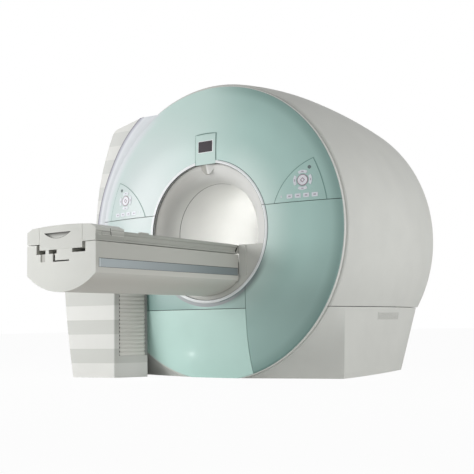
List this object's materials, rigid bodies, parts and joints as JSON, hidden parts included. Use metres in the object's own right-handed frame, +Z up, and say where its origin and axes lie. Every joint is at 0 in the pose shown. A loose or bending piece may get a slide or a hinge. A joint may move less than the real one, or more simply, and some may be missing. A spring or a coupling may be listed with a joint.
{
  "type": "mri scanner",
  "caption": "Whole-body MRI scanner with a round domed front, a wide patient bore and a sliding table on a striped lift column.",
  "frame": {"origin": "on the floor below the bore axis, in the plane of the round front's rim", "axes": "+X right seen from the front, +Y into the bore, +Z up; the front faces -Y"},
  "size_m": [2.209, 2.996, 2.097],
  "materials": {
    "teal_cover": "satin",
    "pale_panel": "satin",
    "white_cover": "satin",
    "warm_cover": "satin",
    "table_cover": "satin",
    "tabletop_shell": "satin",
    "rail_grey": "satin",
    "screen": "gloss",
    "lens": "gloss",
    "lamp": "gloss",
    "bellows": "matte",
    "steel": "satin",
    "bright_steel": "brushed",
    "motor": "satin",
    "vessel": "satin",
    "coil": "matte",
    "key_grey": "satin",
    "rocker_blue": "satin"
  },
  "bodies": {
    "scanner": {"base_frame": "steel", "body_cover_left": "warm_cover", "body_cover_right": "warm_cover", "bore_bridge": "warm_cover", "bore_liner": "warm_cover", "bore_ring": "pale_panel", "column_base_plate": "steel", "column_cover": "white_cover", "column_side_cover": "white_cover", "control_panel_left": "pale_panel", "control_panel_right": "pale_panel", "display_housing": "pale_panel", "display_screen": "screen", "front_cover_left": "teal_cover", "front_cover_right": "teal_cover", "front_cover_upper": "teal_cover", "front_funnel": "warm_cover", "gradient_coil": "coil", "guide_rails": "bright_steel", "lead_screw": "bright_steel", "left_rim_cover": "white_cover", "levelling_feet": "steel", "lift_mast": "steel", "light_housing": "pale_panel", "light_window": "lens", "lower_bellows": "bellows", "magnet_vessel": "vessel", "rear_cover": "warm_cover", "rear_funnel": "warm_cover", "rf_body_coil": "coil", "service_panel": "teal_cover", "skirt_left": "warm_cover", "skirt_right": "warm_cover", "status_lamps": "lamp", "upper_bellows": "bellows", "vent_grille": "rail_grey"},
    "table_lift": {"lift_carriage": "steel", "lift_gearmotor": "motor", "table_chassis": "table_cover", "side_rails": "rail_grey"},
    "sliding_top": {"tabletop": "tabletop_shell", "end_cap": "tabletop_shell"},
    "rocker_right_body": {"rocker_right": "rocker_blue"},
    "arc_key_outer_right_body": {"arc_key_outer_right": "key_grey"},
    "arc_key_upper_right_body": {"arc_key_upper_right": "key_grey"},
    "arc_key_inner_right_body": {"arc_key_inner_right": "key_grey"},
    "arc_key_lower_right_body": {"arc_key_lower_right": "key_grey"},
    "row_key_1_right_body": {"row_key_1_right": "key_grey"},
    "row_key_2_right_body": {"row_key_2_right": "key_grey"},
    "row_key_3_right_body": {"row_key_3_right": "key_grey"},
    "row_key_4_right_body": {"row_key_4_right": "key_grey"},
    "rocker_left_body": {"rocker_left": "rocker_blue"},
    "arc_key_outer_left_body": {"arc_key_outer_left": "key_grey"},
    "arc_key_upper_left_body": {"arc_key_upper_left": "key_grey"},
    "arc_key_inner_left_body": {"arc_key_inner_left": "key_grey"},
    "arc_key_lower_left_body": {"arc_key_lower_left": "key_grey"},
    "row_key_1_left_body": {"row_key_1_left": "key_grey"},
    "row_key_2_left_body": {"row_key_2_left": "key_grey"},
    "row_key_3_left_body": {"row_key_3_left": "key_grey"},
    "row_key_4_left_body": {"row_key_4_left": "key_grey"}
  },
  "joints": [
    {"name": "lift", "type": "slide", "parent": "scanner", "child": "table_lift", "axis": [0, 0, 1], "range_m": [-0.4, 0], "deforming": ["lower_bellows", "upper_bellows"]},
    {"name": "tabletop_slide", "type": "slide", "parent": "table_lift", "child": "sliding_top", "axis": [0, 1, 0], "range_m": [0, 1.15]},
    {"name": "rocker_right_tilt", "type": "hinge", "parent": "scanner", "child": "rocker_right_body", "pos_m": [0.75634, -0.03687, 1.28775], "axis": [0.6964, 0.1277, 0.7063], "range_deg": [-4, 4], "stiffness_Nm_per_rad": 2},
    {"name": "arc_key_outer_right_press", "type": "slide", "parent": "scanner", "child": "arc_key_outer_right_body", "axis": [-0.1316, 0.9901, -0.0492], "range_m": [0, 0.0025], "stiffness_N_per_m": 800},
    {"name": "arc_key_upper_right_press", "type": "slide", "parent": "scanner", "child": "arc_key_upper_right_body", "axis": [-0.1316, 0.9901, -0.0492], "range_m": [0, 0.0025], "stiffness_N_per_m": 800},
    {"name": "arc_key_inner_right_press", "type": "slide", "parent": "scanner", "child": "arc_key_inner_right_body", "axis": [-0.1316, 0.9901, -0.0492], "range_m": [0, 0.0025], "stiffness_N_per_m": 800},
    {"name": "arc_key_lower_right_press", "type": "slide", "parent": "scanner", "child": "arc_key_lower_right_body", "axis": [-0.1316, 0.9901, -0.0492], "range_m": [0, 0.0025], "stiffness_N_per_m": 800},
    {"name": "row_key_1_right_press", "type": "slide", "parent": "scanner", "child": "row_key_1_right_body", "axis": [-0.0841, 0.9962, -0.023], "range_m": [0, 0.0025], "stiffness_N_per_m": 800},
    {"name": "row_key_2_right_press", "type": "slide", "parent": "scanner", "child": "row_key_2_right_body", "axis": [-0.1092, 0.9936, -0.0275], "range_m": [0, 0.0025], "stiffness_N_per_m": 800},
    {"name": "row_key_3_right_press", "type": "slide", "parent": "scanner", "child": "row_key_3_right_body", "axis": [-0.1345, 0.9904, -0.0313], "range_m": [0, 0.0025], "stiffness_N_per_m": 800},
    {"name": "row_key_4_right_press", "type": "slide", "parent": "scanner", "child": "row_key_4_right_body", "axis": [-0.1599, 0.9865, -0.0346], "range_m": [0, 0.0025], "stiffness_N_per_m": 800},
    {"name": "rocker_left_tilt", "type": "hinge", "parent": "scanner", "child": "rocker_left_body", "pos_m": [-0.75634, -0.03687, 1.28775], "axis": [0.6964, -0.1277, -0.7063], "range_deg": [-4, 4], "stiffness_Nm_per_rad": 2},
    {"name": "arc_key_outer_left_press", "type": "slide", "parent": "scanner", "child": "arc_key_outer_left_body", "axis": [0.1316, 0.9901, -0.0492], "range_m": [0, 0.0025], "stiffness_N_per_m": 800},
    {"name": "arc_key_upper_left_press", "type": "slide", "parent": "scanner", "child": "arc_key_upper_left_body", "axis": [0.1316, 0.9901, -0.0492], "range_m": [0, 0.0025], "stiffness_N_per_m": 800},
    {"name": "arc_key_inner_left_press", "type": "slide", "parent": "scanner", "child": "arc_key_inner_left_body", "axis": [0.1316, 0.9901, -0.0492], "range_m": [0, 0.0025], "stiffness_N_per_m": 800},
    {"name": "arc_key_lower_left_press", "type": "slide", "parent": "scanner", "child": "arc_key_lower_left_body", "axis": [0.1316, 0.9901, -0.0492], "range_m": [0, 0.0025], "stiffness_N_per_m": 800},
    {"name": "row_key_1_left_press", "type": "slide", "parent": "scanner", "child": "row_key_1_left_body", "axis": [0.0841, 0.9962, -0.023], "range_m": [0, 0.0025], "stiffness_N_per_m": 800},
    {"name": "row_key_2_left_press", "type": "slide", "parent": "scanner", "child": "row_key_2_left_body", "axis": [0.1092, 0.9936, -0.0275], "range_m": [0, 0.0025], "stiffness_N_per_m": 800},
    {"name": "row_key_3_left_press", "type": "slide", "parent": "scanner", "child": "row_key_3_left_body", "axis": [0.1345, 0.9904, -0.0313], "range_m": [0, 0.0025], "stiffness_N_per_m": 800},
    {"name": "row_key_4_left_press", "type": "slide", "parent": "scanner", "child": "row_key_4_left_body", "axis": [0.1599, 0.9865, -0.0346], "range_m": [0, 0.0025], "stiffness_N_per_m": 800}
  ]
}
